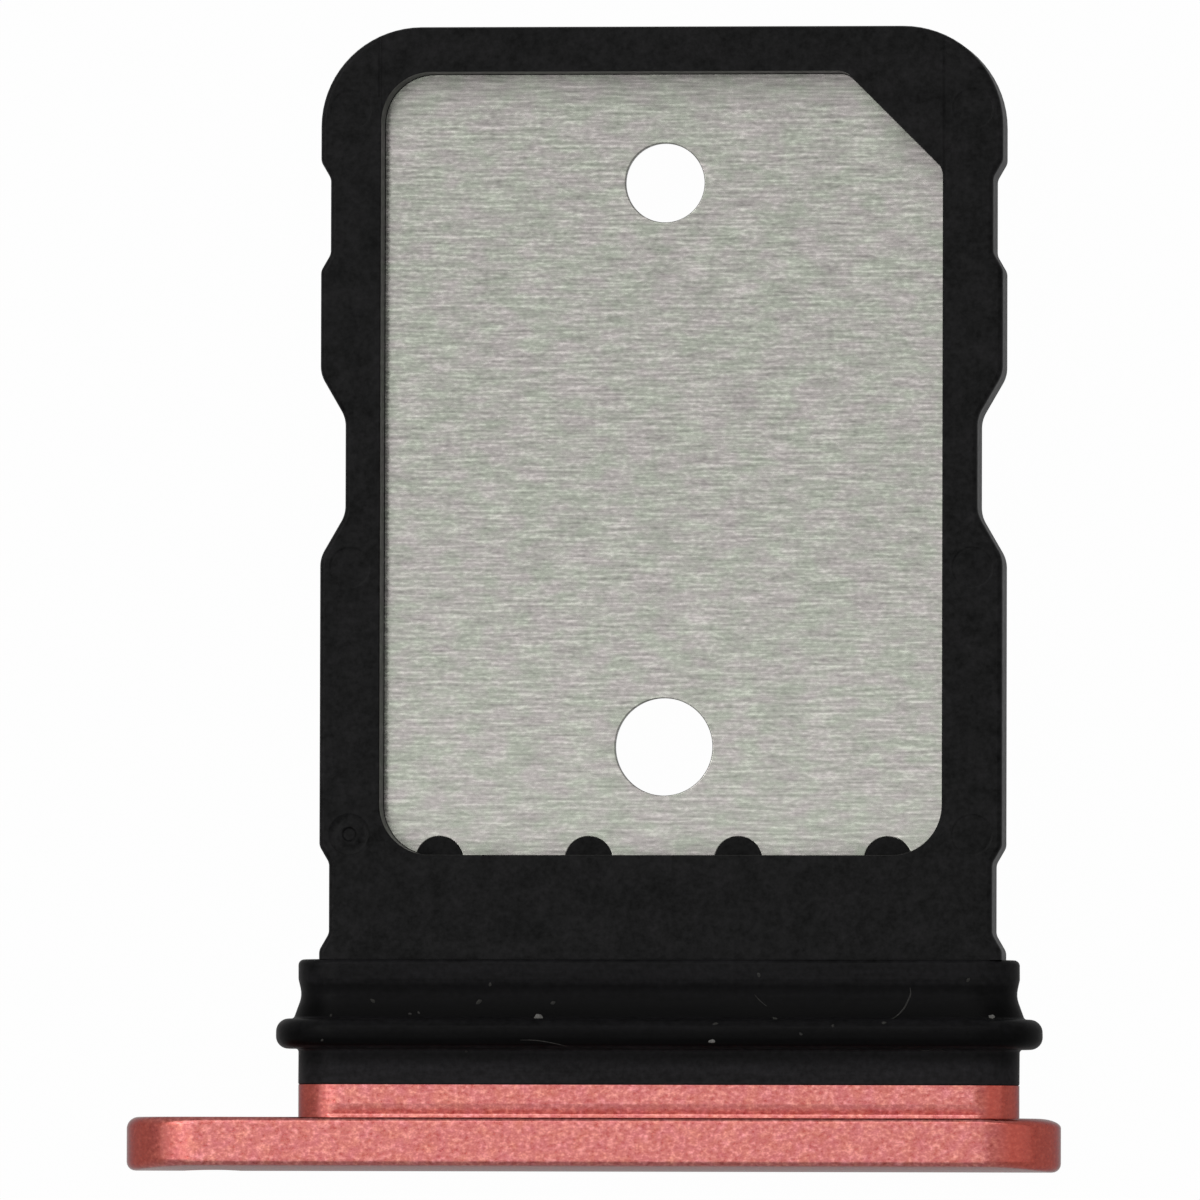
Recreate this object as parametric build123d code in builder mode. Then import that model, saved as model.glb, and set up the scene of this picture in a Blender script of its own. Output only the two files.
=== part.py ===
"""Card tray of a phone: a machined faceplate, a frame moulded around it, a sheet floor and a sealing ring.

Millimetres. The tray slides into the phone along +Y, its card pocket opens upwards, and the origin lies under
the middle of the whole tray.
"""

import os
from math import radians, tan

from build123d import *

# Card, and the pocket that takes it
card_length = 12.3
card_width = 8.8
card_clearance = 0.15
pocket_depth = 0.7
pocket_corner_radius = 0.8
key_chamfer = 1.55
key_corner_radius = 0.3

# Moulded frame
rail_width = 0.96
end_bar_length = 0.735
end_block_length = 1.655
underlip_thickness = 0.3
frame_corner_radius = 1.6
frame_shift = 0.065
frame_edge_bevel = 0.06
window_margin = 0.35
mould_step = 0.02
ejector_mark_radius = 0.32
ejector_mark_depth = 0.02
ejector_mark_places = [1.34, 8.62, 12.86]

# Side recesses: a detent notch between two shallow reliefs, with the straight stretch before each
ramp_angle = 30
far_relief_gap = 0.56
far_relief_floor = 1.2
detent_gap = 1.65
detent_floor = 1.53
detent_depth = 0.4
detent_corner_radius = 0.5
near_relief_gap = 0.14
near_relief_floor = 1.12
relief_depth = 0.155
relief_corner_radius = 0.2

# Sheet floor
plate_thickness = 0.2
plate_side_hold = 0.45
plate_far_hold = 0.4
plate_near_hold = 0.9
plate_corner_radius = 0.5
hole_inset = 1.735
far_hole_radius = 0.63
near_hole_radius = 0.775
anchor_radius = 0.375
anchor_spacing = 2.385
anchor_count = 4
anchor_inset = 0.07

# Sealing ring, its stretches in order from the neck to the frame
seal_wall = 0.35
band_length = 0.57
lip_length = 0.48
lip_rise = 0.36
lip_tip_radius = 0.2
flare_length = 0.37
flare_rise = 0.08
flare_radius = 0.06
waist_length = 0.26
waist_depth = 0.055
waist_radius = 0.4
bead_length = 0.31
bead_edge_radius = 0.09

# Faceplate, neck and tongue
long_end = 2.74
short_end = 0.66
faceplate_height = 2.4
faceplate_thickness = 0.855
crown_rise = 0.1
front_edge_radius = 0.1
back_edge_radius = 0.1
front_corner_radius = 0.14
back_corner_radius = 0.19
short_end_round = 0.38
short_end_drop = 0.15
neck_margin = 0.31
neck_height = 1.4
neck_length = 0.52
collar_length = 0.055
groove_length = 0.16
groove_depth = 0.025
eject_hole_radius = 0.45
eject_hole_inset = 1.35
tongue_thickness = 0.3
tongue_side_wall = 1.075
tongue_clearance = 0.3
tongue_hole_radius = 0.45
tongue_hole_spacing = 2.6
tongue_hole_count = 3


def ramp_length(depth):
    """How far a recess of this depth runs along the frame's side before it reaches its floor."""
    return depth / tan(radians(ramp_angle))


# Sizes that follow from the ones above
pocket_length = card_length + card_clearance
pocket_width = card_width + card_clearance
frame_width = pocket_width + 2 * rail_width
frame_length = end_block_length + pocket_length + end_bar_length
frame_thickness = pocket_depth + plate_thickness + underlip_thickness
neck_width = frame_width + 2 * neck_margin
core_width = neck_width - 2 * seal_wall
core_height = neck_height - 2 * seal_wall
tongue_width = core_width - 2 * tongue_side_wall
seal_length = band_length + lip_length + flare_length + waist_length + bead_length
faceplate_width = long_end + neck_width + short_end
neck_offset = (long_end - short_end) / 2
tray_offset = neck_offset + frame_shift
tray_length = faceplate_thickness + neck_length + seal_length + frame_length

# Places along the tray, from the front of the cap to the far end, and its middle height
front_y = -tray_length / 2
neck_y = front_y + faceplate_thickness
seal_y = neck_y + neck_length
shoulder_y = seal_y + seal_length
pocket_near_y = shoulder_y + end_block_length
pocket_far_y = pocket_near_y + pocket_length
far_y = pocket_far_y + end_bar_length
plate_near_y = pocket_near_y - plate_near_hold
tongue_far_y = plate_near_y - tongue_clearance
near_relief_y = shoulder_y + near_relief_gap
far_relief_y = far_y - frame_corner_radius - far_relief_gap - far_relief_floor - 2 * ramp_length(relief_depth)
detent_y = far_relief_y - detent_gap - detent_floor - 2 * ramp_length(detent_depth)
mid_height = faceplate_height / 2
frame_top = frame_thickness / 2
plate_top = frame_top - pocket_depth
plate_bottom = plate_top - plate_thickness

# Level plane through the frame's middle, on the frame's centreline, which lies a little off the neck's
tray_plane = Plane((tray_offset, 0, mid_height))


def section_at(y, x=0.0):
    """Upright plane across the tray at its middle height, facing the far end."""
    return Plane((x, y, mid_height), x_dir=(1, 0, 0), z_dir=(0, 1, 0))


def card_outline(side, far, near, corner_radius):
    """Edges of the pocket's keyed outline, grown by the margins given for its sides and two ends."""
    x = pocket_width / 2 + side
    y_near = pocket_near_y - near
    y_far = pocket_far_y + far
    with BuildLine() as outline:
        FilletPolyline(
            (-x, y_near),
            (x, y_near),
            (x, y_far - key_chamfer),
            (x - key_chamfer, y_far),
            (-x, y_far),
            radius=[corner_radius, corner_radius, key_corner_radius, key_corner_radius, corner_radius],
            close=True,
        )
    return outline.edges()


def side_recess(near_y, floor, depth):
    """Corners of a ramped recess in the frame's right side, from its near end to its far end."""
    edge = frame_width / 2
    floor_y = near_y + ramp_length(depth)
    return [
        (edge, near_y),
        (edge - depth, floor_y),
        (edge - depth, floor_y + floor),
        (edge, floor_y + floor + ramp_length(depth)),
    ]


# Floor plate: a flat blank with two round holes, and a row of anchor holes across the pocket's near end
with BuildPart() as floor_plate:
    with BuildSketch(tray_plane.offset(plate_bottom)):
        make_face(card_outline(plate_side_hold, plate_far_hold, plate_near_hold, plate_corner_radius))
        with Locations((0, pocket_far_y - hole_inset)):
            Circle(far_hole_radius, mode=Mode.SUBTRACT)
        with Locations((0, pocket_near_y + hole_inset)):
            Circle(near_hole_radius, mode=Mode.SUBTRACT)
        with Locations((0, pocket_near_y - anchor_inset)):
            with GridLocations(anchor_spacing, 0, anchor_count, 1):
                Circle(anchor_radius, mode=Mode.SUBTRACT)
    extrude(amount=plate_thickness)

# Faceplate: a slot-shaped cap with a crowned front, then the grooved neck and the tongue that anchors it
with BuildPart() as faceplate:
    with BuildSketch(section_at(front_y)):
        SlotOverall(faceplate_width, faceplate_height)
    extrude(amount=faceplate_thickness)

    # Side section: the crowned front and the softened long edges
    with BuildSketch(Plane.YZ):
        with BuildLine():
            front = ThreePointArc(
                (front_y + crown_rise, 0),
                (front_y, mid_height),
                (front_y + crown_rise, faceplate_height),
            )
            Polyline(front @ 1, (neck_y, faceplate_height), (neck_y, 0), front @ 0)
        make_face()
        fillet(vertices().group_by(Axis.X)[0], front_edge_radius)
        fillet(vertices().group_by(Axis.X)[-1], back_edge_radius)
    extrude(amount=faceplate_width, both=True, mode=Mode.INTERSECT)

    # Plan: the long end keeps a tight back corner, the short end is eased off towards the frame
    with BuildSketch():
        half_width = faceplate_width / 2
        ease_x = half_width - short_end_round
        ease_y = neck_y - short_end_drop
        with BuildLine():
            ease = EllipticalCenterArc(
                (ease_x, ease_y), short_end_round, short_end_drop, start_angle=0, arc_size=90
            )
            FilletPolyline(
                ease @ 1,
                (-half_width, neck_y),
                (-half_width, front_y),
                (half_width, front_y),
                ease @ 0,
                radius=[back_corner_radius, front_corner_radius, front_corner_radius],
            )
        make_face()
    extrude(amount=faceplate_height, mode=Mode.INTERSECT)

    # Neck, rooted inside the cap, with a slanted groove milled across each flat behind a narrow collar
    with BuildSketch(section_at(neck_y - faceplate_thickness / 2, neck_offset)):
        SlotOverall(neck_width, neck_height)
    extrude(amount=faceplate_thickness / 2 + neck_length)
    with BuildSketch(Plane.YZ):
        groove_y = neck_y + collar_length
        for side in (1, -1):
            flat = mid_height + side * neck_height / 2
            with BuildLine():
                Polyline(
                    (groove_y, flat - side * groove_depth),
                    (groove_y + 2 * groove_length, flat + side * groove_depth),
                    (groove_y, flat + side * groove_depth),
                    close=True,
                )
            make_face()
    extrude(amount=faceplate_width, both=True, mode=Mode.SUBTRACT)

    # Tongue, with holes that the moulded core fills
    with BuildSketch(Plane((neck_offset, 0, mid_height - tongue_thickness / 2))):
        with Locations((0, seal_y)):
            Rectangle(tongue_width, tongue_far_y - seal_y, align=(Align.CENTER, Align.MIN))
        with Locations((0, seal_y + seal_length / 2)):
            with GridLocations(tongue_hole_spacing, 0, tongue_hole_count, 1):
                Circle(tongue_hole_radius, mode=Mode.SUBTRACT)
    extrude(amount=tongue_thickness)

    # Hole for the eject pin, in the long end
    with BuildSketch(section_at(front_y)):
        with Locations((eject_hole_inset - half_width, 0)):
            Circle(eject_hole_radius)
    extrude(amount=faceplate_thickness, mode=Mode.SUBTRACT)

# Tray frame: rails around the card pocket, the end block and the core under the seal
with BuildPart() as tray_frame:
    with BuildSketch(tray_plane.offset(-frame_top)):
        with BuildLine():
            half_outline = FilletPolyline(
                (0, shoulder_y),
                (frame_width / 2, shoulder_y),
                *side_recess(near_relief_y, near_relief_floor, relief_depth),
                *side_recess(detent_y, detent_floor, detent_depth),
                *side_recess(far_relief_y, far_relief_floor, relief_depth),
                (frame_width / 2, far_y),
                (0, far_y),
                radius=[0]
                + [relief_corner_radius] * 4
                + [detent_corner_radius] * 4
                + [relief_corner_radius] * 4
                + [frame_corner_radius],
            )
            Line(half_outline @ 1, half_outline @ 0)
        make_face()
        mirror(about=Plane.YZ)
    extrude(amount=frame_thickness)
    rim = edges().filter_by(Plane.XY) - edges().filter_by_position(Axis.Y, shoulder_y, shoulder_y)
    chamfer(rim, frame_edge_bevel)

    # Core inside the seal, standing on the end block
    with BuildSketch(section_at(seal_y, neck_offset)):
        SlotOverall(core_width, core_height)
    extrude(amount=seal_length)

    # Card pocket from above, and the window under the floor plate
    with BuildSketch(tray_plane.offset(frame_top)):
        make_face(card_outline(0, 0, 0, pocket_corner_radius))
    extrude(amount=-pocket_depth, mode=Mode.SUBTRACT)
    with BuildSketch(tray_plane.offset(-frame_top)):
        make_face(card_outline(-window_margin, -window_margin, -window_margin, pocket_corner_radius))
    extrude(amount=underlip_thickness, mode=Mode.SUBTRACT)

    # The plate's round holes stay open through the frame
    with BuildSketch(tray_plane.offset(plate_bottom)):
        with Locations((0, pocket_far_y - hole_inset)):
            Circle(far_hole_radius)
        with Locations((0, pocket_near_y + hole_inset)):
            Circle(near_hole_radius)
    extrude(amount=plate_thickness, mode=Mode.SUBTRACT)

    # Step left by the mould's pocket insert across the end bar, and the ejector pins' marks on the rails
    with BuildSketch(tray_plane.offset(frame_top)):
        with Locations((0, far_y)):
            step_length = end_bar_length + key_chamfer + key_corner_radius
            Rectangle(pocket_width, step_length, align=(Align.CENTER, Align.MAX))
    extrude(amount=-mould_step, mode=Mode.SUBTRACT)
    with BuildSketch(tray_plane.offset(frame_top)):
        for place in ejector_mark_places:
            with Locations((0, far_y - place)):
                with GridLocations(pocket_width + rail_width, 0, 2, 1):
                    Circle(ejector_mark_radius)
    extrude(amount=-ejector_mark_depth, mode=Mode.SUBTRACT)

    # Moulded around the sheet and the tongue
    add(floor_plate.part, mode=Mode.SUBTRACT)
    add(faceplate.part, mode=Mode.SUBTRACT)

# Seal: its profile carried once around the core, starting on the top run
with BuildPart() as seal:
    half_core = core_height / 2
    half_run = core_width / 2 - half_core
    with BuildLine(section_at(seal_y, neck_offset)) as ring:
        Line((-half_run, -half_core), (half_run, -half_core))
        ThreePointArc((half_run, -half_core), (half_run + half_core, 0), (half_run, half_core))
        Line((half_run, half_core), (-half_run, half_core))
        ThreePointArc((-half_run, half_core), (-half_run - half_core, 0), (-half_run, -half_core))
    lip_end = band_length + lip_length
    waist_place = lip_end + flare_length
    bead_place = waist_place + waist_length
    with BuildSketch(Plane(ring.line @ 0, x_dir=(0, 1, 0), z_dir=ring.line % 0)) as profile:
        with BuildLine():
            FilletPolyline(
                (0, 0),
                (0, seal_wall),
                (band_length, seal_wall),
                (band_length, seal_wall + lip_rise),
                (lip_end, seal_wall + lip_rise),
                (lip_end, seal_wall + flare_rise),
                (waist_place, seal_wall - waist_depth),
                (bead_place, seal_wall),
                (seal_length, seal_wall),
                (seal_length, 0),
                radius=[0, 0, 0]
                + [lip_tip_radius] * 2
                + [flare_radius, waist_radius, 0, bead_edge_radius, 0],
                close=True,
            )
        make_face()
    sweep(sections=profile.sketch, path=ring.line)

os.makedirs("parts", exist_ok=True)
faceplate.part.label = "faceplate"
tray_frame.part.label = "tray_frame"
floor_plate.part.label = "floor_plate"
seal.part.label = "seal"
export_step(faceplate.part, "parts/faceplate.step")
export_step(tray_frame.part, "parts/tray_frame.step")
export_step(floor_plate.part, "parts/floor_plate.step")
export_step(seal.part, "parts/seal.step")
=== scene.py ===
import math

import bmesh
import bpy
import numpy as np
from mathutils import Matrix, Vector, noise
from mathutils.bvhtree import BVHTree


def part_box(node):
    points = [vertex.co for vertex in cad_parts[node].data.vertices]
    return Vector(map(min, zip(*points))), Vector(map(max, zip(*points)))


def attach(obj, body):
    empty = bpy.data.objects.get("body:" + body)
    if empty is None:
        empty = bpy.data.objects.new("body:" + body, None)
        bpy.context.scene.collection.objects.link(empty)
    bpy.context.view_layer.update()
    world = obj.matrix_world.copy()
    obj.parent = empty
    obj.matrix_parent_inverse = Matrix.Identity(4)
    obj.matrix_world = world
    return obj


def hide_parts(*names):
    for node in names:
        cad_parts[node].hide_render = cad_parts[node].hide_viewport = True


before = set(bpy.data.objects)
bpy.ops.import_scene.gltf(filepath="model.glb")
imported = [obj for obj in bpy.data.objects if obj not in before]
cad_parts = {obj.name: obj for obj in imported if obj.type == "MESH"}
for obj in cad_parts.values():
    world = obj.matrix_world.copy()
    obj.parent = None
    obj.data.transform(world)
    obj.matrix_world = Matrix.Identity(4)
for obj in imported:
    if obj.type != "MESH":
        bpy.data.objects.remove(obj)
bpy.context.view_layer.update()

# Meshes are built in millimetres, in the frame's axes, and scaled to metres at the end
MM = 0.001


def low(name):
    """Lowest corner of a CAD node, in millimetres."""
    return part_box(name)[0] / MM


def high(name):
    """Highest corner of a CAD node, in millimetres."""
    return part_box(name)[1] / MM


# Places that the CAD nodes give
front_y = low("faceplate").y
far_y = high("tray_frame").y
seal_y = low("seal").y
shoulder_y = high("seal").y
frame_bottom = low("tray_frame").z
frame_top = high("tray_frame").z
plate_bottom = low("floor_plate").z
plate_top = high("floor_plate").z
cap_half_width = high("faceplate").x
cap_half_height = high("faceplate").z / 2
mid_height = cap_half_height

# Distance from a rounded edge at which the wall beside it is flat
edge_guard = 0.015

# Edges that turn by more than this are sharp
sharp_angle = math.radians(40)

# Points closer than this are one point
same_point = 1e-5

# How far a cutter reaches past what it cuts
cutter_reach = 1.0

# Frame: sizes as in the CAD source, but for the rims, the draft and the mould's marks
pocket_length = 12.45
pocket_width = 8.95
pocket_corner_radius = 0.8
key_chamfer = 1.55
key_corner_radius = 0.3
rail_width = 0.96
end_bar_length = 0.735
frame_corner_radius = 1.6
frame_rim_radius = 0.08
far_end_draft = 0.02
pocket_rim_radius = 0.02
pocket_foot_radius = 0.012
mould_step = 0.012
witness_width = 0.05
witness_depth = 0.002
witness_lift = 0.012
window_margin = 0.35
ramp_angle = math.radians(30)
far_relief_gap = 0.56
far_relief_floor = 1.2
detent_gap = 1.65
detent_floor = 1.53
detent_depth = 0.4
detent_corner_radius = 0.5
near_relief_gap = 0.14
near_relief_floor = 1.12
relief_depth = 0.155
relief_corner_radius = 0.2
pin_mark_radius = 0.32
pin_mark_slope = 0.03
pin_mark_places = [1.34, 8.62, 12.86]
gate_depth = 0.018
left_pin_depths = [0.004, 0.006, gate_depth]
right_pin_depths = [0.005, 0.009, 0.008]

# Rings of the mark where the plastic came in: (radius, height in depths of the mark)
gate_rings = [(0.21, -1), (0.18, -0.4), (0.12, -0.3), (0.09, -2)]

# Floor plate
plate_side_hold = 0.45
plate_far_hold = 0.4
plate_near_hold = 0.9
plate_corner_radius = 0.5
plate_edge_radius = 0.02
hole_inset = 1.735
far_hole_radius = 0.63
near_hole_radius = 0.775
anchor_radius = 0.375
anchor_spacing = 2.385
anchor_count = 4
anchor_inset = 0.07
anchor_sink = 0.012

# Faceplate and neck
cap_thickness = 0.855
crown_rise = 0.1
crown_ring_insets = [1.12, 0.9, 0.7, 0.5, 0.35, 0.2]
cap_front_radius = 0.065
cap_corner_radius = 0.14
cap_back_radius = 0.1
long_end_radius = 0.19
short_end_round = 0.38
short_end_drop = 0.15
neck_half_width = 5.745
neck_half_height = 0.7
collar_length = 0.055
collar_slant = 0.017
collar_guard = 0.15
groove_length = 0.16
groove_depth = 0.025
groove_guard = 0.06
eject_hole_radius = 0.45
eject_hole_inset = 1.35
eject_hole_chamfer = 0.03
eject_cutter_reach = 0.2
tongue_half_width = 4.32
tongue_thickness = 0.3
tongue_edge_radius = 0.02
tongue_gap = 0.3
tongue_hole_radius = 0.45
tongue_hole_spacing = 2.6

# Seal
seal_wall = 0.35
band_length = 0.57
lip_length = 0.48
lip_rise = 0.36
lip_tip_radius = 0.2
lip_foot_radius = 0.05
flare_length = 0.37
flare_rise = 0.08
flare_radius = 0.06
waist_length = 0.26
waist_depth = 0.055
waist_radius = 0.4
bead_foot_radius = 0.08
bead_edge_radius = 0.09
seal_soft_edge = 0.03
seal_waviness = 0.008

# Film of dust along the seal, with painted shade and light in it: darker on the band towards the lip and on
# the flare behind the lip, and lifted at the lip's foot against the lip's shadow. Rows give (distance from
# the neck in mm, amount), and the least that is left anywhere follows
DUST_AND_PAINTED_LIGHT = [
    (0.0, 1.15),
    (0.24, 1.1),
    (0.38, 0.7),
    (0.48, 0.5),
    (0.55, 1.1),
    (0.59, 1.0),
    (0.63, 0.1),
    (0.8, 0.1),
    (0.98, 0.5),
    (1.05, 0.7),
    (1.09, 0.0),
    (1.22, 0.04),
    (1.32, 0.15),
    (1.42, 0.3),
    (1.57, 0.27),
    (1.63, 0.65),
    (1.99, 0.65),
]
LEAST_FILM = 0.06

# Specks on the seal: (x, y, size in mm) by the pixel of the picture where each lies
DIM_SPECKS = [
    (373, 1001, 0.07),
    (490, 984, 0.055),
    (479, 1002, 0.085),
    (553, 1003, 0.08),
    (466, 1051, 0.05),
    (759, 975, 0.065),
    (968, 980, 0.06),
    (715, 1024, 0.06),
    (775, 1019, 0.06),
    (801, 1034, 0.055),
    (833, 1026, 0.06),
    (884, 1023, 0.075),
    (410, 1014, 0.045),
    (419, 1013, 0.04),
    (331, 1016, 0.045),
    (322, 1040, 0.05),
]
BRIGHT_SPECKS = [(538, 1018, 0.16), (712, 1041, 0.09), (991, 1017, 0.085)]

# Fibres on the seal: (radius in mm, pixels that it passes)
FIBRES = [
    (0.008, [(519, 1040), (534, 1040), (548, 1042), (562, 1045), (581, 1050)]),
    (0.015, [(910, 987), (911, 994), (908, 1001), (904, 1009), (896, 1017), (888, 1021)]),
    (0.008, [(754, 994), (760, 1001), (769, 1008)]),
    (0.008, [(917, 1049), (926, 1051), (937, 1048), (948, 1053)]),
]
FIBRE_STEPS = 6

# Camera: the tray's turns before it, the picture's scale and where the frame's origin falls in it
VIEW_TURNS = [math.radians(a) for a in (-1.892, -4.911, 0.02)]
VIEW_DISTANCE = 300.0
PICTURE = 1200
PIXELS_PER_MM = 62.627
ORIGIN_PIXEL = Vector((600.79, 601.55))
SENSOR = 36.0

# Floor and lamps, in metres
floor_drop = 0.00001
floor_reach = 2.0
floor_white = 0.985
floor_glossy_share = 0.25
room_light = 0.42

# Places worked out from these
neck_y = front_y + cap_thickness
neck_x = (low("seal").x + high("seal").x) / 2
frame_x = (low("floor_plate").x + high("floor_plate").x) / 2
pocket_far_y = far_y - end_bar_length
pocket_near_y = pocket_far_y - pocket_length
frame_half_width = pocket_width / 2 + rail_width


def rounded(corners, radii, step=math.radians(5)):
    """Closed outline through the corners, each rounded to its own radius."""
    points = []
    for i, radius in enumerate(radii):
        corner = Vector(corners[i])
        into = (corner - Vector(corners[i - 1])).normalized()
        away = (Vector(corners[(i + 1) % len(corners)]) - corner).normalized()
        if radius == 0:
            points.append(corner)
            continue
        turn = math.atan2(into.cross(away), into.dot(away))
        side = math.copysign(1, turn)
        reach = radius * math.tan(abs(turn) / 2)
        centre = corner - into * reach + Vector((-into.y, into.x)) * radius * side
        spoke = corner - into * reach - centre
        steps = max(2, math.ceil(abs(turn) / step))
        for k in range(steps + 1):
            points.append(centre + Matrix.Rotation(turn * k / steps, 2) @ spoke)
    return np.array(points)


def circle(x, y, radius, steps=96):
    """Closed round outline."""
    angles = np.arange(steps) * 2 * math.pi / steps
    return np.stack([x + radius * np.cos(angles), y + radius * np.sin(angles)], 1)


def inset(outline, distance):
    """The outline moved to its left, which is inwards where it runs anticlockwise."""
    ahead = np.roll(outline, -1, 0) - outline
    ahead /= np.linalg.norm(ahead, axis=1)[:, None]
    behind = np.roll(ahead, 1, 0)
    left = np.stack([-ahead[:, 1], ahead[:, 0]], 1) + np.stack([-behind[:, 1], behind[:, 0]], 1)
    left /= (1 + (ahead * behind).sum(1))[:, None]
    return outline + left * distance


def quarter_round(radius, steps=5):
    """Points around a rounded edge, from the side to the face, by their distances from these two."""
    angles = [math.pi / 2 * k / steps for k in range(steps + 1)]
    return [(radius * (1 - math.cos(a)), radius * (1 - math.sin(a))) for a in angles]


def add_loop(mesh, outline, z):
    return [mesh.verts.new((x, y, z)) for x, y in outline]


def bridge(mesh, first, second):
    """Quads between two closed loops of as many points."""
    for i in range(len(first)):
        mesh.faces.new((first[i - 1], first[i], second[i], second[i - 1])).smooth = True


def bridge_all(mesh, loops):
    for first, second in zip(loops, loops[1:]):
        bridge(mesh, first, second)


def fill(mesh, loops):
    """Flat face bounded by the first loop, with the other loops as holes in it."""
    edges = []
    for loop in loops:
        for i in range(len(loop)):
            pair = (loop[i - 1], loop[i])
            edges.append(mesh.edges.get(pair) or mesh.edges.new(pair))
    bmesh.ops.triangle_fill(mesh, use_beauty=True, edges=edges)


def rounded_bottom(z, radius):
    """(height, inset) of a wall's points up from its rounded lower edge; the last keeps the wall flat."""
    return [(z + up, d) for d, up in reversed(quarter_round(radius))] + [(z + radius + edge_guard, 0)]


def rounded_top(z, radius):
    """(height, inset) of a wall's points up to its rounded upper edge; the first keeps the wall flat."""
    return [(z - radius - edge_guard, 0)] + [(z - down, d) for d, down in quarter_round(radius)]


def wall(mesh, outline, side, levels):
    """Upright wall along an outline, through (height, inset) levels: side is 1 outside and -1 in a hole."""
    loops = [add_loop(mesh, inset(outline, side * d), z) for z, d in levels]
    bridge_all(mesh, loops)
    return loops[0], loops[-1]


def sheet(mesh, outline, holes, bottom, top, edge_radius):
    """Flat blank with holes, all its edges rounded."""
    levels = rounded_bottom(bottom, edge_radius) + rounded_top(top, edge_radius)
    ends = [wall(mesh, outline, 1, levels)] + [wall(mesh, hole, -1, levels) for hole in holes]
    fill(mesh, [end[0] for end in ends])
    fill(mesh, [end[1] for end in ends])


def slot_stations(half_run, run_steps=60, arc_steps=48):
    """X of the centre and outward direction in X and Z around a slot: top, right end, bottom, left end."""
    run = np.linspace(-half_run, half_run, run_steps + 1)
    arc = np.pi * np.arange(1, arc_steps) / arc_steps
    centres = np.concatenate([run, np.full(len(arc), half_run), run[::-1], np.full(len(arc), -half_run)])
    angles = np.concatenate(
        [np.full(len(run), np.pi / 2), np.pi / 2 - arc, np.full(len(run), -np.pi / 2), -np.pi / 2 - arc]
    )
    return centres, np.stack([np.cos(angles), np.sin(angles)], 1)


def slot_loop(mesh, stations, x, radius, y):
    """One closed loop around a slot; radius and y are numbers or one value for each station."""
    centres, outward = stations
    radius = np.broadcast_to(radius, len(centres))
    y = np.broadcast_to(y, len(centres))
    points = np.stack([x + centres + outward[:, 0] * radius, y, mid_height + outward[:, 1] * radius], 1)
    return [mesh.verts.new(p) for p in points]


def card_outline(side, far, near, corner_radius):
    """The pocket's keyed outline, grown by the margins given for its sides and two ends."""
    x = pocket_width / 2 + side
    y_near = pocket_near_y - near
    y_far = pocket_far_y + far
    corners = [(-x, y_near), (x, y_near), (x, y_far - key_chamfer), (x - key_chamfer, y_far), (-x, y_far)]
    radii = [corner_radius, corner_radius, key_corner_radius, key_corner_radius, corner_radius]
    return rounded(corners, radii) + (frame_x, 0)


def plate_holes():
    """The plate's two round holes, then its anchor holes."""
    holes = [
        circle(frame_x, pocket_far_y - hole_inset, far_hole_radius),
        circle(frame_x, pocket_near_y + hole_inset, near_hole_radius),
    ]
    for k in range(anchor_count):
        x = frame_x + (k - (anchor_count - 1) / 2) * anchor_spacing
        holes.append(circle(x, pocket_near_y - anchor_inset, anchor_radius))
    return holes


def frame_outline():
    """The frame from above: straight near end, detent and reliefs in both sides, two round corners."""

    def recess(near, floor, depth):
        ramp = depth / math.tan(ramp_angle)
        inner = frame_half_width - depth
        return [
            (frame_half_width, near),
            (inner, near + ramp),
            (inner, near + ramp + floor),
            (frame_half_width, near + 2 * ramp + floor),
        ]

    relief_ramps = 2 * relief_depth / math.tan(ramp_angle)
    detent_ramps = 2 * detent_depth / math.tan(ramp_angle)
    far_relief_y = far_y - frame_corner_radius - far_relief_gap - far_relief_floor - relief_ramps
    detent_y = far_relief_y - detent_gap - detent_floor - detent_ramps
    right = [(frame_half_width, shoulder_y)]
    right += recess(shoulder_y + near_relief_gap, near_relief_floor, relief_depth)
    right += recess(detent_y, detent_floor, detent_depth)
    right += recess(far_relief_y, far_relief_floor, relief_depth)
    right += [(frame_half_width, far_y)]
    radii = [0] + [relief_corner_radius] * 4 + [detent_corner_radius] * 4 + [relief_corner_radius] * 4
    radii += [frame_corner_radius]
    left = [(-x, y) for x, y in reversed(right)]
    return rounded(right + left, radii + radii[::-1]) + (frame_x, 0)


def clean(mesh):
    """Joins points that coincide, drops faces without area and turns the rest outwards."""
    bmesh.ops.remove_doubles(mesh, verts=mesh.verts, dist=same_point)
    bmesh.ops.dissolve_degenerate(mesh, edges=mesh.edges, dist=same_point / 10)
    bmesh.ops.recalc_face_normals(mesh, faces=mesh.faces)


def finish_piece(name, mesh, material, replaced=None):
    """Turns a mesh in millimetres into a piece of the tray, which may stand for a CAD node."""
    clean(mesh)
    data = bpy.data.meshes.new(name)
    mesh.to_mesh(data)
    mesh.free()
    data.transform(Matrix.Scale(MM, 4))
    smooth = [face.use_smooth for face in data.polygons]
    data.set_sharp_from_angle(angle=sharp_angle)
    data.polygons.foreach_set("use_smooth", smooth)
    data.materials.append(material)
    piece = bpy.data.objects.new(name, data)
    bpy.context.scene.collection.objects.link(piece)
    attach(piece, "root")
    if replaced:
        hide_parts(replaced)
    return piece


def build_floor_plate():
    mesh = bmesh.new()
    outline = card_outline(plate_side_hold, plate_far_hold, plate_near_hold, plate_corner_radius)
    sheet(mesh, outline, plate_holes(), plate_bottom, plate_top, plate_edge_radius)
    return mesh


def pin_mark(mesh, x, y, profile):
    """Shallow round mark of a mould pin; profile gives (radius, height) from its edge to its middle."""
    loops = [add_loop(mesh, circle(x, y, radius, 40), frame_top + height) for radius, height in profile]
    bridge_all(mesh, loops)
    fill(mesh, loops[-1:])
    return loops[0]


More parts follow.
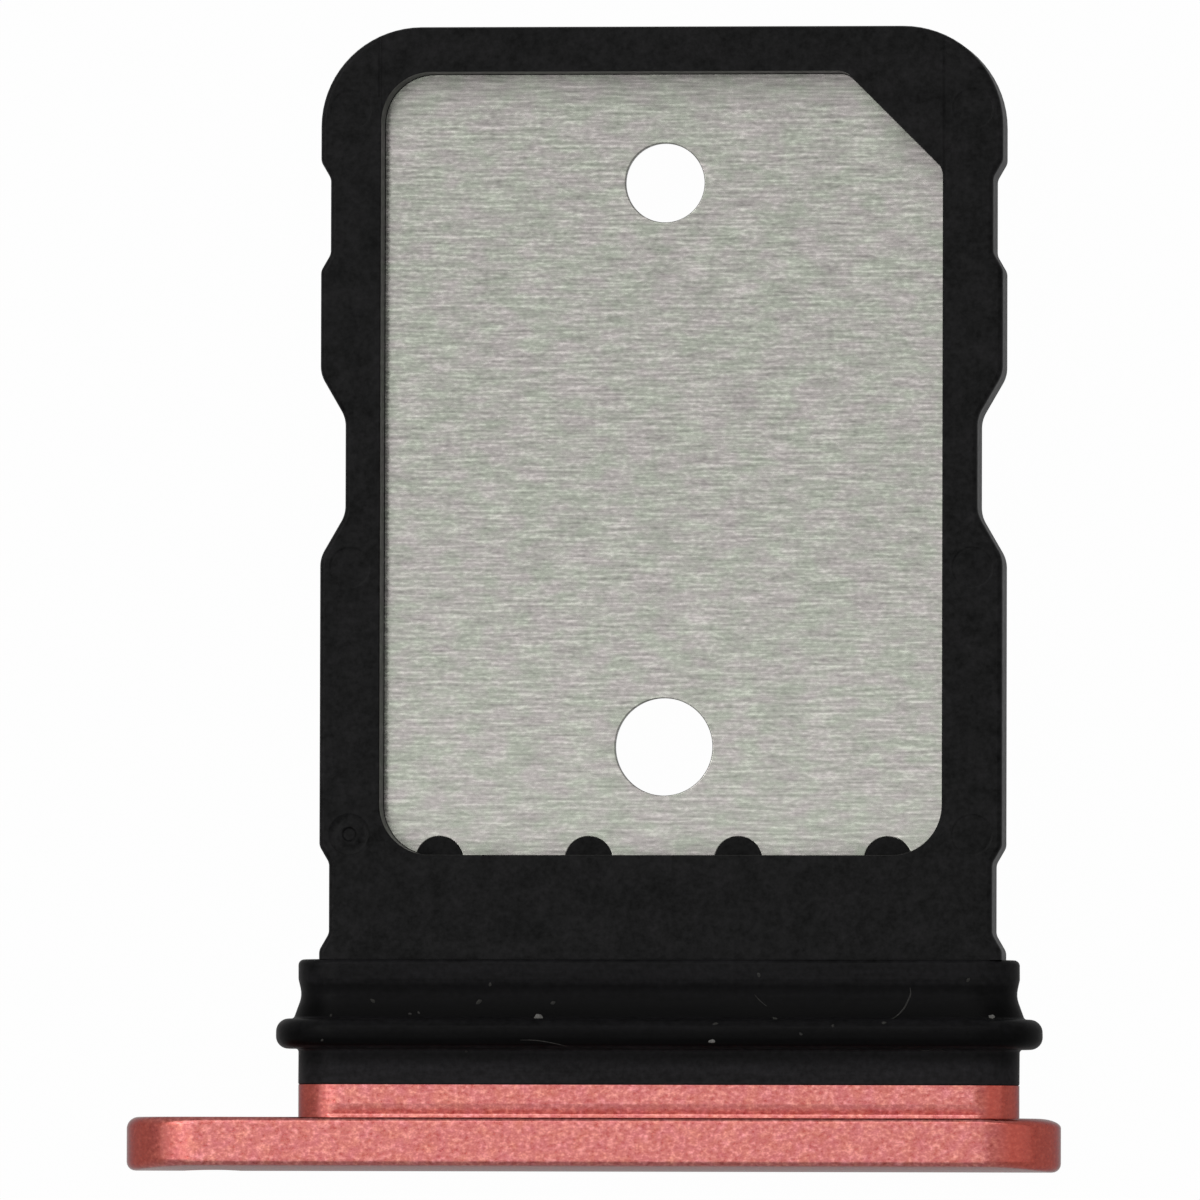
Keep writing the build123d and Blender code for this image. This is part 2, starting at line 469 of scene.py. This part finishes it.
def cut(piece_mesh, cutter_mesh):
    """The first mesh without the second, which is used up."""
    objects = []
    for made in (piece_mesh, cutter_mesh):
        clean(made)
        data = bpy.data.meshes.new("cut")
        made.to_mesh(data)
        made.free()
        objects.append(bpy.data.objects.new("cut", data))
        bpy.context.scene.collection.objects.link(objects[-1])
    piece, cutter = objects
    boolean = piece.modifiers.new("cut", "BOOLEAN")
    boolean.object = cutter
    boolean.solver = "EXACT"
    data = bpy.data.meshes.new_from_object(piece.evaluated_get(bpy.context.evaluated_depsgraph_get()))
    result = bmesh.new()
    result.from_mesh(data)
    for made in objects:
        bpy.data.objects.remove(made)
    bpy.data.meshes.remove(data)
    return result


def pin_marks(mesh):
    """The marks of the mould's pins on both rails; one on the left is where the plastic came in."""
    edges = []
    for side, depths in ((-1, left_pin_depths), (1, right_pin_depths)):
        for place, depth in zip(pin_mark_places, depths):
            slope = pin_mark_slope / 2
            profile = [
                (pin_mark_radius + slope, 0),
                (pin_mark_radius, -depth / 2),
                (pin_mark_radius - slope, -depth),
            ]
            if depth == gate_depth:
                profile += [(radius, height * depth) for radius, height in gate_rings]
            x = frame_x + side * (pocket_width + rail_width) / 2
            edges.append(pin_mark(mesh, x, far_y - place, profile))
    return edges


def plug(mesh, loops):
    """Closes the solid between two loops."""
    bridge(mesh, *loops)
    fill(mesh, loops[:1])
    fill(mesh, loops[1:])


def frame_wall(mesh):
    """The frame's outer wall with rounded edges: square at the seal, drafted at the far end."""
    outline = frame_outline()
    near_end = np.isclose(outline[:, 1], shoulder_y, atol=1e-4)
    far_end = np.clip((outline[:, 1] - far_y) / frame_corner_radius + 1, 0, 1)
    levels = rounded_bottom(frame_bottom, frame_rim_radius) + rounded_top(frame_top, frame_rim_radius)
    loops = []
    for z, distance in levels:
        moved = inset(outline, distance)
        moved[near_end, 1] = shoulder_y
        moved[:, 1] -= far_end_draft * far_end * (z - frame_bottom) / (frame_top - frame_bottom)
        loops.append(add_loop(mesh, moved, z))
    bridge_all(mesh, loops)
    return loops[0], loops[-1]


def witness_groove(mesh, x, near_y):
    """Fine groove along Y that the joint between two inserts of the mould leaves in the frame's top."""
    floor_z = frame_top - mould_step - witness_depth
    rim_z = frame_top + witness_lift
    section = [(x, floor_z), (x + witness_width, rim_z), (x - witness_width, rim_z)]
    cutter = bmesh.new()
    ends = [[cutter.verts.new((px, y, pz)) for px, pz in section] for y in (near_y, far_y + cutter_reach)]
    plug(cutter, ends)
    return cut(mesh, cutter)


def mould_insert_marks(mesh):
    """The step that the mould's pocket insert leaves across the end bar, with a groove along each side."""
    step_near_y = pocket_far_y - key_chamfer - key_corner_radius
    corners = [
        (frame_x - pocket_width / 2, step_near_y),
        (frame_x + pocket_width / 2, step_near_y),
        (frame_x + pocket_width / 2, far_y + cutter_reach),
        (frame_x - pocket_width / 2, far_y + cutter_reach),
    ]
    cutter = bmesh.new()
    plug(cutter, [add_loop(cutter, corners, z) for z in (frame_top - mould_step, frame_top + cutter_reach)])
    mesh = cut(mesh, cutter)
    for side, near_y in ((-1, pocket_far_y - pocket_corner_radius / 2), (1, step_near_y)):
        mesh = witness_groove(mesh, frame_x + side * (pocket_width + witness_width) / 2, near_y)
    return mesh


def build_tray_frame():
    mesh = bmesh.new()
    pocket = card_outline(0, 0, 0, pocket_corner_radius)
    slot = card_outline(plate_side_hold, plate_far_hold, plate_near_hold, plate_corner_radius)
    window = card_outline(-window_margin, -window_margin, -window_margin, pocket_corner_radius)

    outer_low, outer_top = frame_wall(mesh)
    foot = [(plate_top + up, -d) for d, up in reversed(quarter_round(pocket_foot_radius))]
    pocket_low, pocket_top = wall(mesh, pocket, -1, foot + rounded_top(frame_top, pocket_rim_radius))
    slot_low, slot_top = wall(mesh, slot, -1, [(plate_bottom, 0), (plate_top, 0)])
    window_levels = rounded_bottom(frame_bottom, pocket_rim_radius) + [(plate_bottom, 0)]
    window_low, window_top = wall(mesh, window, -1, window_levels)
    fill(mesh, [outer_low, window_low])
    fill(mesh, [slot_low, window_top])
    fill(mesh, [slot_top, pocket_low])
    fill(mesh, [outer_top, pocket_top] + pin_marks(mesh))

    mesh = mould_insert_marks(mesh)

    # Plastic that fills the plate's anchor holes, and the core under the seal
    for hole in plate_holes()[2:]:
        plug(mesh, [add_loop(mesh, hole, z) for z in (plate_bottom, plate_top - anchor_sink)])
    half_core = neck_half_height - seal_wall
    stations = slot_stations(neck_half_width - neck_half_height)
    plug(mesh, [slot_loop(mesh, stations, neck_x, half_core, y) for y in (seal_y, shoulder_y)])
    return mesh


def cap_loops(mesh):
    """Loops over the cap, from the middle of its crowned front around its edges to its back."""
    stations = slot_stations(cap_half_width - cap_half_height)
    outward = stations[1]

    def crown(radius):
        """Y of the crowned front at this distance from the slot's middle line."""
        return front_y + crown_rise * (outward[:, 1] * radius / cap_half_height) ** 2

    loops = []
    for depth in crown_ring_insets:
        radius = cap_half_height - depth
        loops.append(slot_loop(mesh, stations, 0, radius, crown(radius)))
    front_radius = cap_front_radius + (cap_corner_radius - cap_front_radius) * np.abs(outward[:, 0])
    for side, face in reversed(quarter_round(1.0)):
        radius = cap_half_height - front_radius * side
        loops.append(slot_loop(mesh, stations, 0, radius, crown(radius) + front_radius * face))
    side_y = crown(cap_half_height) + front_radius
    loops.append(slot_loop(mesh, stations, 0, cap_half_height, side_y + edge_guard))

    # The back edge is wider at the long end, and eased off in plan at the short end
    left_end = np.maximum(-outward[:, 0], 0)
    right_end = np.maximum(outward[:, 0], 0)
    long_ease = cap_back_radius + (long_end_radius - cap_back_radius) * left_end
    ease_in = long_ease + (short_end_round - cap_back_radius) * right_end
    ease_back = long_ease + (short_end_drop - cap_back_radius) * right_end
    loops.append(slot_loop(mesh, stations, 0, cap_half_height, neck_y - ease_back - edge_guard))
    for side, face in quarter_round(1.0, 9):
        radius = cap_half_height - ease_in * side
        loops.append(slot_loop(mesh, stations, 0, radius, neck_y - ease_back * face))
    return loops


def neck_loops(mesh):
    """Loops along the neck, with a slanted groove milled across its flats behind a narrow collar."""
    stations = slot_stations(neck_half_width - neck_half_height)
    rise = np.maximum(np.abs(stations[1][:, 1]), 0.01)
    groove_y = neck_y + collar_length
    profile = [
        (neck_y, 0),
        (neck_y + collar_length * collar_guard, 0),
        (groove_y - collar_length * collar_guard, collar_slant * (1 - collar_guard)),
        (groove_y, collar_slant),
        (groove_y, groove_depth),
        (groove_y + groove_length * groove_guard, groove_depth * (1 - groove_guard)),
        (groove_y + groove_length * (1 - groove_guard), groove_depth * groove_guard),
        (groove_y + groove_length, 0),
        (groove_y + groove_length * (1 + groove_guard), 0),
        (seal_y, 0),
    ]
    loops = []
    for y, depth in profile:
        radius = np.minimum(neck_half_height, (neck_half_height - depth) / rise)
        loops.append(slot_loop(mesh, stations, neck_x, radius, y))
    return loops


def tube(mesh, loops):
    """Closes the solid through a row of loops."""
    bridge_all(mesh, loops)
    fill(mesh, loops[:1])
    fill(mesh, loops[-1:])


def eject_hole_cutter():
    """Round cutter through the cap's long end that also breaks both edges of the hole."""
    x = eject_hole_inset - cap_half_width
    wide = eject_hole_radius + eject_cutter_reach + eject_hole_chamfer
    cutter = bmesh.new()
    rings = []
    for y, radius in (
        (front_y - eject_cutter_reach, wide),
        (front_y + eject_hole_chamfer, eject_hole_radius),
        (neck_y - eject_hole_chamfer, eject_hole_radius),
        (neck_y + eject_cutter_reach, wide),
    ):
        rings.append([cutter.verts.new((px, y, pz)) for px, pz in circle(x, mid_height, radius, 72)])
    tube(cutter, rings)
    return cutter


def add_tongue(mesh):
    """The tongue that the frame is moulded around."""
    tongue_far_y = low("floor_plate").y - tongue_gap
    corners = [
        (neck_x - tongue_half_width, seal_y),
        (neck_x + tongue_half_width, seal_y),
        (neck_x + tongue_half_width, tongue_far_y),
        (neck_x - tongue_half_width, tongue_far_y),
    ]
    hole_y = (seal_y + shoulder_y) / 2
    holes = [circle(neck_x + k * tongue_hole_spacing, hole_y, tongue_hole_radius) for k in (-1, 0, 1)]
    bottom = mid_height - tongue_thickness / 2
    top = mid_height + tongue_thickness / 2
    sheet(mesh, rounded(corners, [0, 0, 0, 0]), holes, bottom, top, tongue_edge_radius)


def build_faceplate():
    mesh = bmesh.new()
    tube(mesh, cap_loops(mesh) + neck_loops(mesh))
    mesh = cut(mesh, eject_hole_cutter())
    add_tongue(mesh)
    return mesh


def build_seal():
    mesh = bmesh.new()
    lip_end = band_length + lip_length
    waist_place = lip_end + flare_length
    bead_place = waist_place + waist_length
    length = shoulder_y - seal_y
    corners = [
        ((0, 0), 0),
        ((0, seal_wall), seal_soft_edge),
        ((band_length, seal_wall), lip_foot_radius),
        ((band_length, seal_wall + lip_rise), lip_tip_radius),
        ((lip_end, seal_wall + lip_rise), lip_tip_radius),
        ((lip_end, seal_wall + flare_rise), flare_radius),
        ((waist_place, seal_wall - waist_depth), waist_radius),
        ((bead_place, seal_wall), bead_foot_radius),
        ((length, seal_wall), bead_edge_radius),
        ((length, 0), 0),
    ]
    profile = rounded([c[0] for c in corners], [c[1] for c in corners], math.radians(9))
    half_core = neck_half_height - seal_wall
    stations = slot_stations(neck_half_width - neck_half_height, 90, 48)
    around = np.stack([stations[0] + stations[1][:, 0], stations[1][:, 1]], 1)
    loops = []
    for y, rise in profile:
        wave = np.array([noise.noise(Vector((px * 0.9, pz * 2, y * 1.5))) for px, pz in around])
        radius = half_core + rise + seal_waviness * wave * (rise / seal_wall)
        radius = np.where(rise > 0.01, radius, half_core)
        loops.append(slot_loop(mesh, stations, neck_x, radius, seal_y + y))
    bridge_all(mesh, loops + loops[:1])
    return mesh


def add(tree, kind, inputs=None, **settings):
    """One shader node, with its settings made and its inputs linked or filled in."""
    made = tree.nodes.new("ShaderNode" + kind)
    for name, value in settings.items():
        setattr(made, name, value)
    for name, value in (inputs or {}).items():
        if isinstance(value, bpy.types.NodeSocket):
            tree.links.new(value, made.inputs[name])
        else:
            made.inputs[name].default_value = value
    return made


def new_material(name):
    material = bpy.data.materials.new(name)
    material.use_nodes = True
    tree = material.node_tree
    return material, tree, tree.nodes["Principled BSDF"]


def per_mm(tree, x, y, z):
    """Object coordinates with this many texture units a millimetre along each axis."""
    place = add(tree, "TexCoord").outputs["Object"]
    return add(tree, "Mapping", {"Vector": place, "Scale": (x / MM, y / MM, z / MM)}).outputs["Vector"]


def grain(tree, scale, detail=2.0, roughness=0.5):
    """Noise around 0.5, with scale features a millimetre, or one number for each axis."""
    vector = per_mm(tree, *(scale if isinstance(scale, tuple) else (scale, scale, scale)))
    inputs = {"Vector": vector, "Scale": 1.0, "Detail": detail, "Roughness": roughness}
    return add(tree, "TexNoise", inputs).outputs["Fac"]


def math_node(tree, operation, first, second):
    return add(tree, "Math", {0: first, 1: second}, operation=operation).outputs[0]


def scaled(tree, value, factor, offset):
    """factor * value + offset"""
    return add(tree, "Math", {0: value, 1: factor, 2: offset}, operation="MULTIPLY_ADD").outputs[0]


def spread(tree, value, amount, middle=1.0):
    """middle + amount * (value - 0.5)"""
    return scaled(tree, value, amount, middle - amount / 2)


def over(tree, value, limit):
    """How far the value is above the limit, and 0 below it."""
    return math_node(tree, "MAXIMUM", math_node(tree, "SUBTRACT", value, limit), 0.0)


def ramp(tree, value, start, end):
    """0 at start to 1 at end, held at these outside."""
    return add(tree, "MapRange", {"Value": value, "From Min": start, "From Max": end}).outputs["Result"]


def mixed(tree, first, second, share):
    """Two colours mixed by share, each a socket or written as red, green and blue."""
    sides = [c if isinstance(c, bpy.types.NodeSocket) else (*c, 1) for c in (first, second)]
    return add(tree, "Mix", {"Factor": share, 6: sides[0], 7: sides[1]}, data_type="RGBA").outputs[2]


def tinted(tree, first, second, share, brightness):
    """Two colours mixed by share, times brightness."""
    color = mixed(tree, first, second, share)
    return add(tree, "VectorMath", {0: color, "Scale": brightness}, operation="SCALE").outputs[0]


def bump(tree, height, depth_mm):
    return add(tree, "Bump", {"Height": height, "Distance": depth_mm * MM}).outputs["Normal"]


def anodised_coral():
    """Bead-blasted aluminium under a dyed oxide layer: random grain with painted glints, and painted shade
    that makes the round ends deeper red.
    """
    material, tree, shader = new_material("anodised_coral")
    fine = grain(tree, (14, 18, 14), 2, 0.55)
    # Random grain, with painted glints: the noise above 0.53 adds bright specks that stand in for the
    # metal's sparkle
    grain_and_painted_glints = math_node(tree, "ADD", math_node(tree, "SUBTRACT", fine, 0.5), over(tree, fine, 0.53))
    across = add(tree, "SeparateXYZ", {0: add(tree, "NewGeometry").outputs["Normal"]}).outputs["X"]
    # Painted shade at the round ends: where the surface turns to the sides, the colour goes deeper red and
    # the grain and glints weaken
    ends = math_node(tree, "MAXIMUM", ramp(tree, across, -0.14, -0.7), ramp(tree, across, 0.02, 0.4))
    grain_and_painted_glints = math_node(tree, "MULTIPLY", grain_and_painted_glints, scaled(tree, ends, -0.5, 1.0))
    hue = spread(tree, grain(tree, 5, 2, 0.5), 2.5, 0.5)
    ground = mixed(tree, (0.6045, 0.1535, 0.1544), (0.6278, 0.1758, 0.1349), hue)
    # Painted shade: the deeper red is mixed into the colour at the round ends
    ground_with_painted_shade = mixed(tree, ground, (0.6, 0.085, 0.055), ends)
    slopes = {0: grain_and_painted_glints, 1: (1.1, 2.35, 2.4), 2: (1, 1, 1)}
    tones = add(tree, "VectorMath", slopes, operation="MULTIPLY_ADD").outputs[0]
    color = add(tree, "VectorMath", {0: ground_with_painted_shade, 1: tones}, operation="MULTIPLY").outputs[0]
    tree.links.new(color, shader.inputs["Base Color"])
    tree.links.new(spread(tree, fine, 0.3, 0.32), shader.inputs["Roughness"])
    tree.links.new(bump(tree, fine, 0.002), shader.inputs["Normal"])
    shader.inputs["Metallic"].default_value = 1.0
    shader.inputs["Specular Tint"].default_value = (0.5, 0.15, 0.12, 1)
    shader.inputs["Coat Weight"].default_value = 1.0
    shader.inputs["Coat Roughness"].default_value = 0.15
    return material


def brushed_steel():
    """Stainless sheet brushed across the tray: streaks along X with painted glints, and a painted
    reflection that makes it a little brighter near the cap.
    """
    material, tree, shader = new_material("brushed_steel")
    short = grain(tree, (10, 21, 21), 1, 0.5)
    long = grain(tree, (1.5, 20, 20), 1, 0.5)
    streaks = math_node(tree, "SUBTRACT", math_node(tree, "ADD", short, long), 1.0)
    # Painted glints: the streaks' peaks add bright specks to the colour
    painted_glints = over(tree, streaks, 0.05)
    # Painted reflection: the colour grows brighter towards the cap, as a reflection of the lamps would
    place = add(tree, "SeparateXYZ", {0: per_mm(tree, 1, 1, 1)}).outputs["Y"]
    from_far = math_node(tree, "SUBTRACT", place, pocket_far_y)
    painted_reflection_towards_cap = math_node(tree, "MULTIPLY", math_node(tree, "MULTIPLY", from_far, from_far), 0.0012)
    bright = math_node(tree, "ADD", scaled(tree, streaks, 0.95, 1.005), scaled(tree, painted_glints, 0.75, 0.0))
    bright = math_node(tree, "ADD", bright, painted_reflection_towards_cap)
    hue = spread(tree, grain(tree, (2.5, 4, 4), 2, 0.5), 3.0, 0.5)
    color = tinted(tree, (0.426, 0.4, 0.386), (0.388, 0.409, 0.352), hue, bright)
    tree.links.new(color, shader.inputs["Base Color"])
    tree.links.new(spread(tree, short, 0.2, 0.25), shader.inputs["Roughness"])
    tree.links.new(bump(tree, short, 0.001), shader.inputs["Normal"])
    tree.links.new(add(tree, "CombineXYZ", {"Y": 1.0}).outputs[0], shader.inputs["Tangent"])
    shader.inputs["Metallic"].default_value = 1.0
    shader.inputs["Anisotropic"].default_value = 1.0
    return material


def black_plastic():
    """Moulded black plastic with the mould's fine matte texture."""
    material, tree, shader = new_material("black_plastic")
    fine = grain(tree, 12, 2, 0.6)
    patches = grain(tree, 2.2, 3, 0.6)
    bright = math_node(tree, "ADD", spread(tree, fine, 3.2), spread(tree, patches, 2.4, 0.0))
    color = tinted(tree, (0.006, 0.0065, 0.0063), (0.0067, 0.0061, 0.0067), patches, bright)
    tree.links.new(color, shader.inputs["Base Color"])
    tree.links.new(spread(tree, fine, 0.3, 0.4), shader.inputs["Roughness"])
    tree.links.new(bump(tree, fine, 0.003), shader.inputs["Normal"])
    shader.inputs["Specular Tint"].default_value = (0.17, 0.17, 0.17, 1)
    return material


def black_silicone():
    """Matte silicone with a film of dust, almost none where the slot wipes the lip; the film also carries
    painted shade beside the lip and painted light at its foot.
    """
    material, tree, shader = new_material("black_silicone")
    fine = grain(tree, 10, 3, 0.6)
    haze = grain(tree, (0.5, 6, 6), 3, 0.6)
    place = add(tree, "SeparateXYZ", {0: per_mm(tree, 1, 1, 1)}).outputs["Y"]
    length = shoulder_y - seal_y
    # Dust film with painted light and shade: its amounts darken the band and the flare beside the lip as
    # painted shade and lift the lip's foot as painted light
    dust_and_painted_light_ramp = add(tree, "ValToRGB", {"Fac": ramp(tree, place, seal_y, shoulder_y)})
    stops = dust_and_painted_light_ramp.color_ramp.elements
    while len(stops) < len(DUST_AND_PAINTED_LIGHT):
        stops.new(0.5)
    for stop, (distance, amount) in zip(stops, DUST_AND_PAINTED_LIGHT):
        stop.position = distance / length
        stop.color = (amount, amount, amount, 1)
    uneven = math_node(tree, "ADD", spread(tree, fine, 1.8), spread(tree, haze, 1.2, 0.0))
    bright = scaled(tree, dust_and_painted_light_ramp.outputs["Color"], uneven, LEAST_FILM)
    color = tinted(tree, (0.0122, 0.0122, 0.0124), (0.0126, 0.012, 0.0136), haze, bright)
    tree.links.new(color, shader.inputs["Base Color"])
    tree.links.new(spread(tree, haze, 0.2, 0.36), shader.inputs["Roughness"])
    tree.links.new(bump(tree, fine, 0.002), shader.inputs["Normal"])
    shader.inputs["Specular IOR Level"].default_value = 0.05
    return material


def lint(name, shade):
    """Dust and fibres: uneven pale grey."""
    material, tree, shader = new_material(name)
    grey = (shade, shade, shade)
    yellowed = (shade, shade * 0.96, shade * 0.85)
    color = tinted(tree, grey, yellowed, grain(tree, 4), spread(tree, grain(tree, 25), 1.2))
    tree.links.new(color, shader.inputs["Base Color"])
    shader.inputs["Roughness"].default_value = 0.9
    shader.inputs["Specular Tint"].default_value = (0.1, 0.1, 0.1, 1)
    return material


def view_axes():
    """Turn from the camera's axes to the frame's."""
    turn = Matrix.Identity(3)
    for angle, axis in zip(VIEW_TURNS, "XYZ"):
        turn = Matrix.Rotation(angle, 3, axis) @ turn
    return turn.transposed()


def view_place():
    """The camera's place, in millimetres."""
    shift = Vector((PICTURE / 2 - ORIGIN_PIXEL.x, ORIGIN_PIXEL.y - PICTURE / 2)) / PIXELS_PER_MM
    return view_axes() @ Vector((*shift, VIEW_DISTANCE))


def add_camera():
    camera = bpy.data.objects.new("camera", bpy.data.cameras.new("camera"))
    bpy.context.scene.collection.objects.link(camera)
    camera.matrix_world = Matrix.Translation(view_place() * MM) @ view_axes().to_4x4()
    camera.data.sensor_width = SENSOR
    camera.data.lens = SENSOR * PIXELS_PER_MM * VIEW_DISTANCE / PICTURE
    camera.data.clip_start = 0.01
    camera.data.clip_end = 10
    bpy.context.scene.camera = camera
    bpy.context.scene.view_settings.view_transform = "Standard"


def pixel_ray(x, y):
    """Start and direction, in millimetres, of the sight line through a pixel of the picture."""
    focal = PIXELS_PER_MM * VIEW_DISTANCE
    direction = view_axes() @ Vector(((x - PICTURE / 2) / focal, (PICTURE / 2 - y) / focal, -1))
    return view_place(), direction.normalized()


def speck(mesh, surface, x, y, size, seed):
    """An uneven crumb of dust of this size, lying on the surface that the pixel shows."""
    spot, normal, _, _ = surface.ray_cast(*pixel_ray(x, y))
    made = bmesh.ops.create_icosphere(mesh, subdivisions=2, radius=size / 2)["verts"]
    lie = normal.to_track_quat("Z", "Y").to_matrix() @ Matrix.Rotation(seed * 2.4, 3, "Z")
    stretch = Vector((1.2 + 0.3 * math.sin(seed), 0.8, 0.5))
    for vert in made:
        rough = 1 + 0.5 * noise.noise(vert.co * 30 + Vector((seed, 0, 0)))
        vert.co = spot + lie @ (vert.co * stretch * rough)
    for face in mesh.faces:
        face.smooth = True


def fibre_line(surface, pixels, radius):
    """Points of a thread that lies on the surface along these pixels, smoothed."""
    points = []
    for start, end in zip(pixels, pixels[1:]):
        for k in range(FIBRE_STEPS):
            x, y = Vector(start).lerp(Vector(end), k / FIBRE_STEPS)
            spot, normal, _, _ = surface.ray_cast(*pixel_ray(x, y))
            points.append(spot + normal * radius)
    last = len(points) - 1
    return [(points[max(i - 2, 0)] + p * 2 + points[min(i + 2, last)]) / 4 for i, p in enumerate(points)]


def fibre(mesh, surface, pixels, radius):
    """A thread along these pixels that gets thinner towards its ends."""
    points = fibre_line(surface, pixels, radius)
    last = len(points) - 1
    loops = []
    for i, point in enumerate(points):
        along = (points[min(i + 1, last)] - points[max(i - 1, 0)]).normalized()
        across = along.to_track_quat("Z", "Y").to_matrix()
        thick = radius * (0.3 + 0.7 * math.sin(math.pi * (i + 0.5) / len(points)))
        ring = circle(0, 0, thick, 8)
        loops.append([mesh.verts.new(point + across @ Vector((x, y, 0))) for x, y in ring])
    tube(mesh, loops)


def build_dim_dust(surface):
    mesh = bmesh.new()
    for i, place in enumerate(DIM_SPECKS):
        speck(mesh, surface, *place, i + 1)
    for radius, pixels in FIBRES:
        fibre(mesh, surface, pixels, radius)
    return mesh


def build_bright_dust(surface):
    """The seeds lay the longer side of each speck along the seal."""
    mesh = bmesh.new()
    for i, place in enumerate(BRIGHT_SPECKS):
        speck(mesh, surface, *place, 21 * i + 17)
    return mesh


def floor_material():
    """White where it is seen, a plain grey where it lights the tray, and clear from below."""
    material = bpy.data.materials.new("floor")
    material.use_nodes = True
    tree = material.node_tree
    tree.nodes.clear()
    path = add(tree, "LightPath").outputs
    seen = math_node(tree, "MAXIMUM", path["Is Camera Ray"], path["Is Transmission Ray"])
    mirrored = math_node(tree, "MULTIPLY", path["Is Glossy Ray"], floor_glossy_share)
    share = math_node(tree, "MULTIPLY", math_node(tree, "MAXIMUM", seen, mirrored), floor_white)
    lit = add(tree, "BsdfDiffuse", {"Color": (0.35, 0.35, 0.35, 1)}).outputs[0]
    white = add(tree, "Emission").outputs[0]
    front_side = add(tree, "MixShader", {0: share, 1: lit, 2: white}).outputs[0]
    clear = add(tree, "BsdfTransparent").outputs[0]
    back_side = add(tree, "NewGeometry").outputs["Backfacing"]
    both = add(tree, "MixShader", {0: back_side, 1: front_side, 2: clear}).outputs[0]
    add(tree, "OutputMaterial", {"Surface": both})
    return material


def add_floor():
    corners = [(x * floor_reach, y * floor_reach, 0) for x, y in ((-1, -1), (1, -1), (1, 1), (-1, 1))]
    data = bpy.data.meshes.new("floor")
    data.from_pydata(corners, [], [(0, 1, 2, 3)])
    data.materials.append(floor_material())
    floor = bpy.data.objects.new("floor", data)
    floor.location.z = -floor_drop
    bpy.context.scene.collection.objects.link(floor)


def add_room():
    """Even grey light from all around."""
    world = bpy.data.worlds.new("room")
    bpy.context.scene.world = world
    world.use_nodes = True
    color = (room_light, room_light, room_light, 1)
    world.node_tree.nodes["Background"].inputs["Color"].default_value = color


def softbox(name, place, width, length, radiance):
    """Area light that faces the tray, with the given radiance; its length runs along the tray."""
    light = bpy.data.lights.new(name, "AREA")
    light.shape = "RECTANGLE"
    light.size = width
    light.size_y = length
    light.energy = radiance * math.pi * width * length
    lamp = bpy.data.objects.new(name, light)
    bpy.context.scene.collection.objects.link(lamp)
    lamp.location = place
    lamp.rotation_euler = (-Vector(place)).to_track_quat("-Z", "Y").to_euler()
    lamp.visible_camera = False


add_camera()
finish_piece("cap", build_faceplate(), anodised_coral(), "faceplate")
finish_piece("frame_moulding", build_tray_frame(), black_plastic(), "tray_frame")
finish_piece("floor_sheet", build_floor_plate(), brushed_steel(), "floor_plate")
seal_mesh = build_seal()
seal_surface = BVHTree.FromBMesh(seal_mesh)
finish_piece("seal_ring", seal_mesh, black_silicone(), "seal")
finish_piece("dust", build_dim_dust(seal_surface), lint("dust", 0.035))
finish_piece("fluff", build_bright_dust(seal_surface), lint("fluff", 0.14))

add_floor()
add_room()
softbox("key", (-0.22, 0.1, 0.5), 0.58, 0.7, 0.62)
softbox("fill", (0.42, 0.1, 0.42), 0.6, 0.7, 0.25)
softbox("back", (-0.1, 0.4, 0.5), 1.0, 0.14, 1.8)
softbox("window", (-0.25, 0.1, 0.49), 0.05, 0.28, 5.2)
